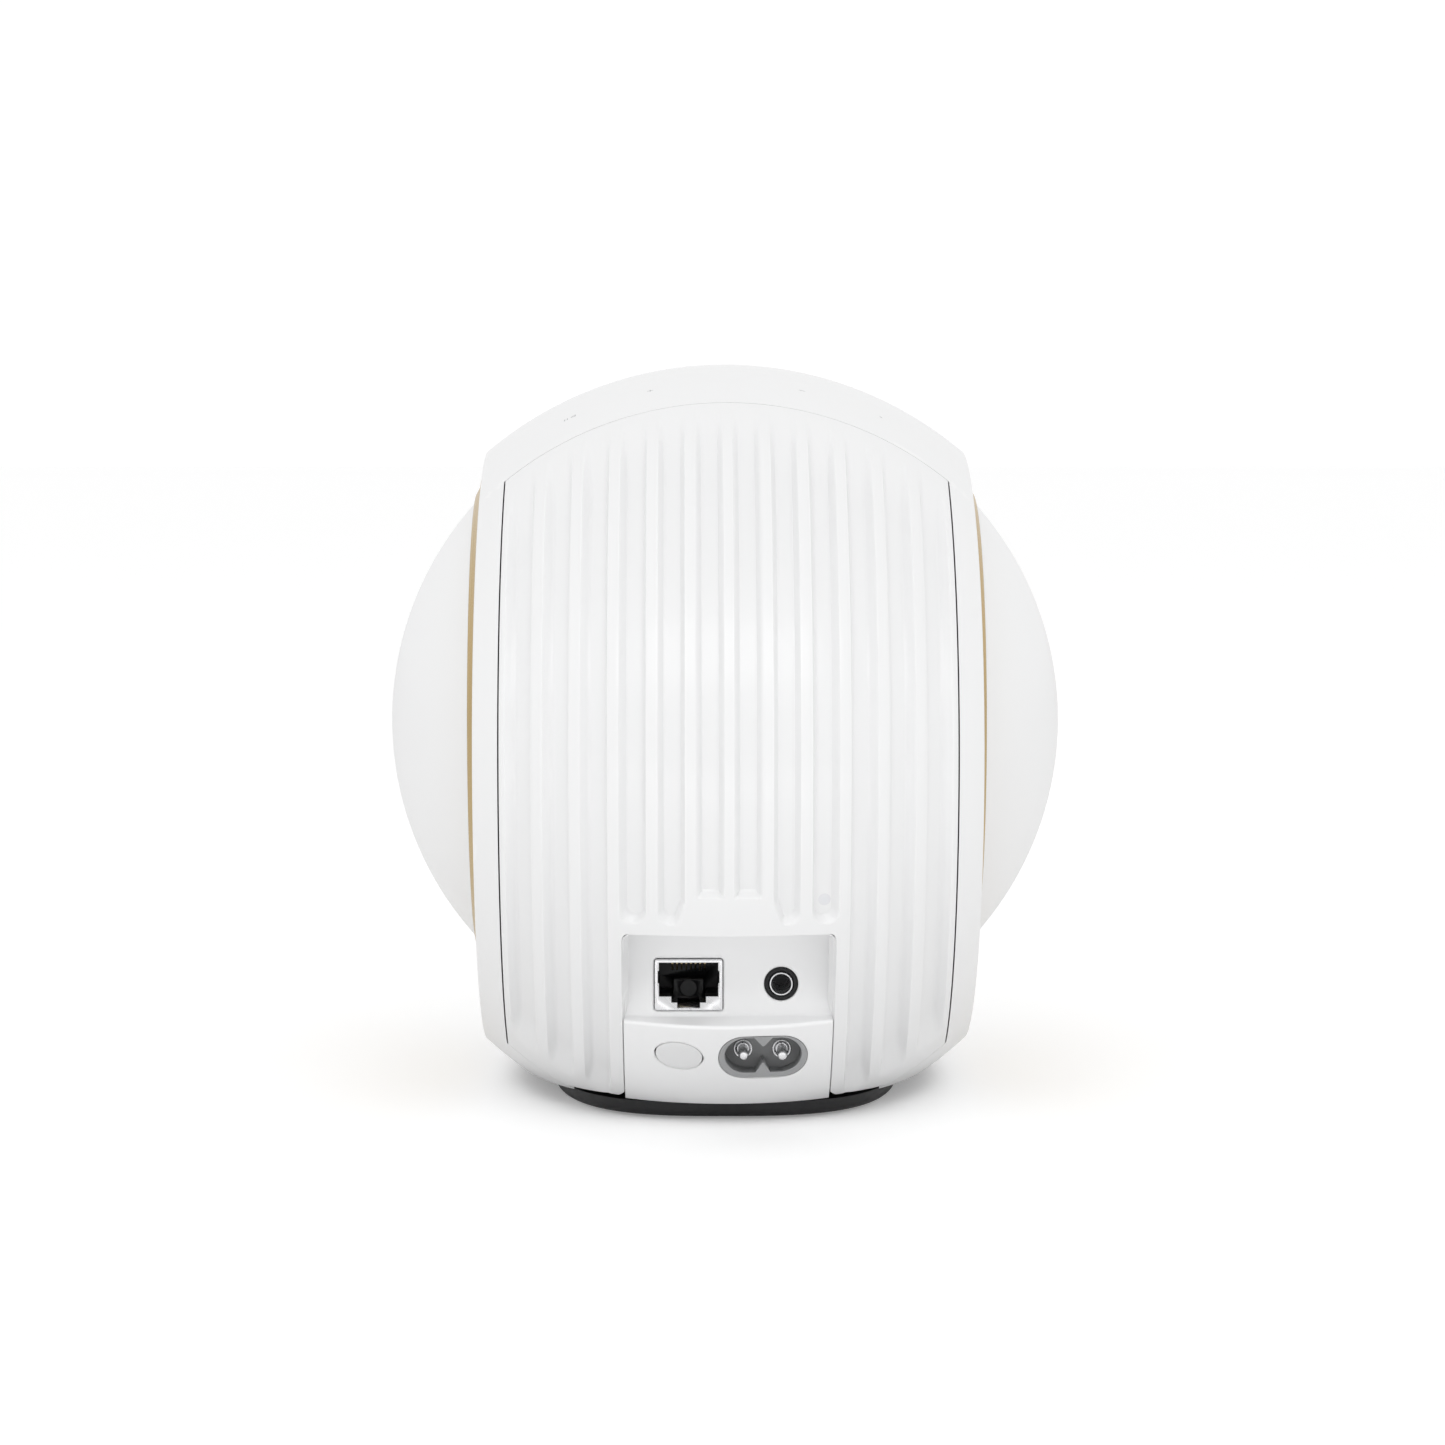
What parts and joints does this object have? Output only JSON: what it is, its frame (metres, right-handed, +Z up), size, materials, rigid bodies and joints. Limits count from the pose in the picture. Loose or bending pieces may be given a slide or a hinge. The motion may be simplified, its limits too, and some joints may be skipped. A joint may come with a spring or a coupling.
{
  "type": "smart speaker",
  "caption": "Compact mains-powered wireless speaker: fluted rear heat-sink cover, side dome woofers in brushed metal surrounds, front driver, rear sockets and a low oval foot.",
  "frame": {"origin": "middle of the footprint, on the surface that the speaker stands on", "axes": "+Z up, -Y out of the front grille, +Y out of the rear sockets, +X out of the right-hand woofer dome"},
  "size_m": [0.157, 0.219, 0.168],
  "materials": {
    "shell_paint": "satin white moulded shell",
    "cover_paint": "satin white painted, fine texture",
    "panel_plastic": "fine matt white",
    "gold_metal": "spun and brushed, pale gold",
    "dome_white": "smooth white, satin gloss",
    "rubber_black": "matt",
    "foot_plastic": "dark grey, fine texture",
    "socket_black": "black, moulded",
    "inlet_grey": "mid grey, moulded",
    "contact_metal": "bright plated",
    "contact_gold": "thin gold plate",
    "button_grey": "fine matt light grey",
    "light_lens": "milky",
    "board_green": "solder resist over glass fibre",
    "chip_black": "moulded",
    "screw_steel": "zinc plated",
    "cast_metal": "die cast",
    "motor_steel": "blackened",
    "magnet_grey": "sintered",
    "copper": "enamelled copper wire",
    "paper_black": "coated fibre",
    "grille_metal": "perforated, dark",
    "film": "polyimide film"
  },
  "bodies": {
    "housing": {"main_shell": "shell_paint", "rear_heatsink_cover": "cover_paint", "status_light_window": "light_lens", "io_panel": "panel_plastic", "io_board": "board_green", "network_socket_shield": "contact_metal", "network_socket_insert": "socket_black", "network_socket_contacts": "contact_gold", "audio_socket_body": "socket_black", "audio_socket_bushing": "contact_metal", "mains_inlet_body": "inlet_grey", "mains_inlet_pins": "contact_metal", "button_switch": "chip_black", "button_board": "board_green", "chassis_barrel": "cast_metal", "control_board_screws": "screw_steel", "amplifier_board_screws": "screw_steel", "foot_screws": "screw_steel", "foot_base": "foot_plastic", "foot_pad": "rubber_black", "power_board": "board_green", "power_components": "chip_black", "amplifier_board": "board_green", "amplifier_chips": "chip_black", "heat_spreader": "cast_metal", "control_board": "board_green", "antenna_board": "board_green", "touch_sensor": "film", "front_grille": "grille_metal", "front_trim_ring": "gold_metal", "front_driver_surround": "rubber_black", "front_driver_basket": "cast_metal", "front_driver_magnet": "magnet_grey", "left_flank_panel": "gold_metal", "left_woofer_surround": "rubber_black", "left_woofer_spider": "film", "left_woofer_basket": "cast_metal", "left_woofer_yoke": "motor_steel", "left_woofer_magnet": "magnet_grey", "left_woofer_pole_plate": "motor_steel", "right_flank_panel": "gold_metal", "right_woofer_surround": "rubber_black", "right_woofer_spider": "film", "right_woofer_basket": "cast_metal", "right_woofer_yoke": "motor_steel", "right_woofer_magnet": "magnet_grey", "right_woofer_pole_plate": "motor_steel"},
    "left_woofer": {"left_woofer_dome": "dome_white", "left_woofer_cone": "paper_black", "left_woofer_former": "film", "left_woofer_coil": "copper"},
    "right_woofer": {"right_woofer_dome": "dome_white", "right_woofer_cone": "paper_black", "right_woofer_former": "film", "right_woofer_coil": "copper"},
    "front_cone": {"front_driver_cone": "paper_black", "front_driver_coil": "copper"},
    "pairing_button": {"pairing_button": "button_grey"}
  },
  "joints": [
    {"name": "left_woofer_stroke", "type": "slide", "parent": "housing", "child": "left_woofer", "axis": [-1, 0, 0], "range_m": [-0.005, 0.005], "stiffness_N_per_m": 1500, "deforming": ["left_woofer_surround", "left_woofer_spider"]},
    {"name": "right_woofer_stroke", "type": "slide", "parent": "housing", "child": "right_woofer", "axis": [1, 0, 0], "range_m": [-0.005, 0.005], "stiffness_N_per_m": 1500, "deforming": ["right_woofer_surround", "right_woofer_spider"]},
    {"name": "front_cone_stroke", "type": "slide", "parent": "housing", "child": "front_cone", "axis": [0, -1, 0], "range_m": [-0.0015, 0.0015], "stiffness_N_per_m": 1200, "deforming": ["front_driver_surround"]},
    {"name": "pairing_button_press", "type": "slide", "parent": "housing", "child": "pairing_button", "axis": [-0.1474, -0.673, 0.7248], "range_m": [0, 0.0008], "stiffness_N_per_m": 900}
  ],
  "couplings": [
    {"joint": "right_woofer_stroke", "follows": "left_woofer_stroke", "ratio": 1}
  ]
}
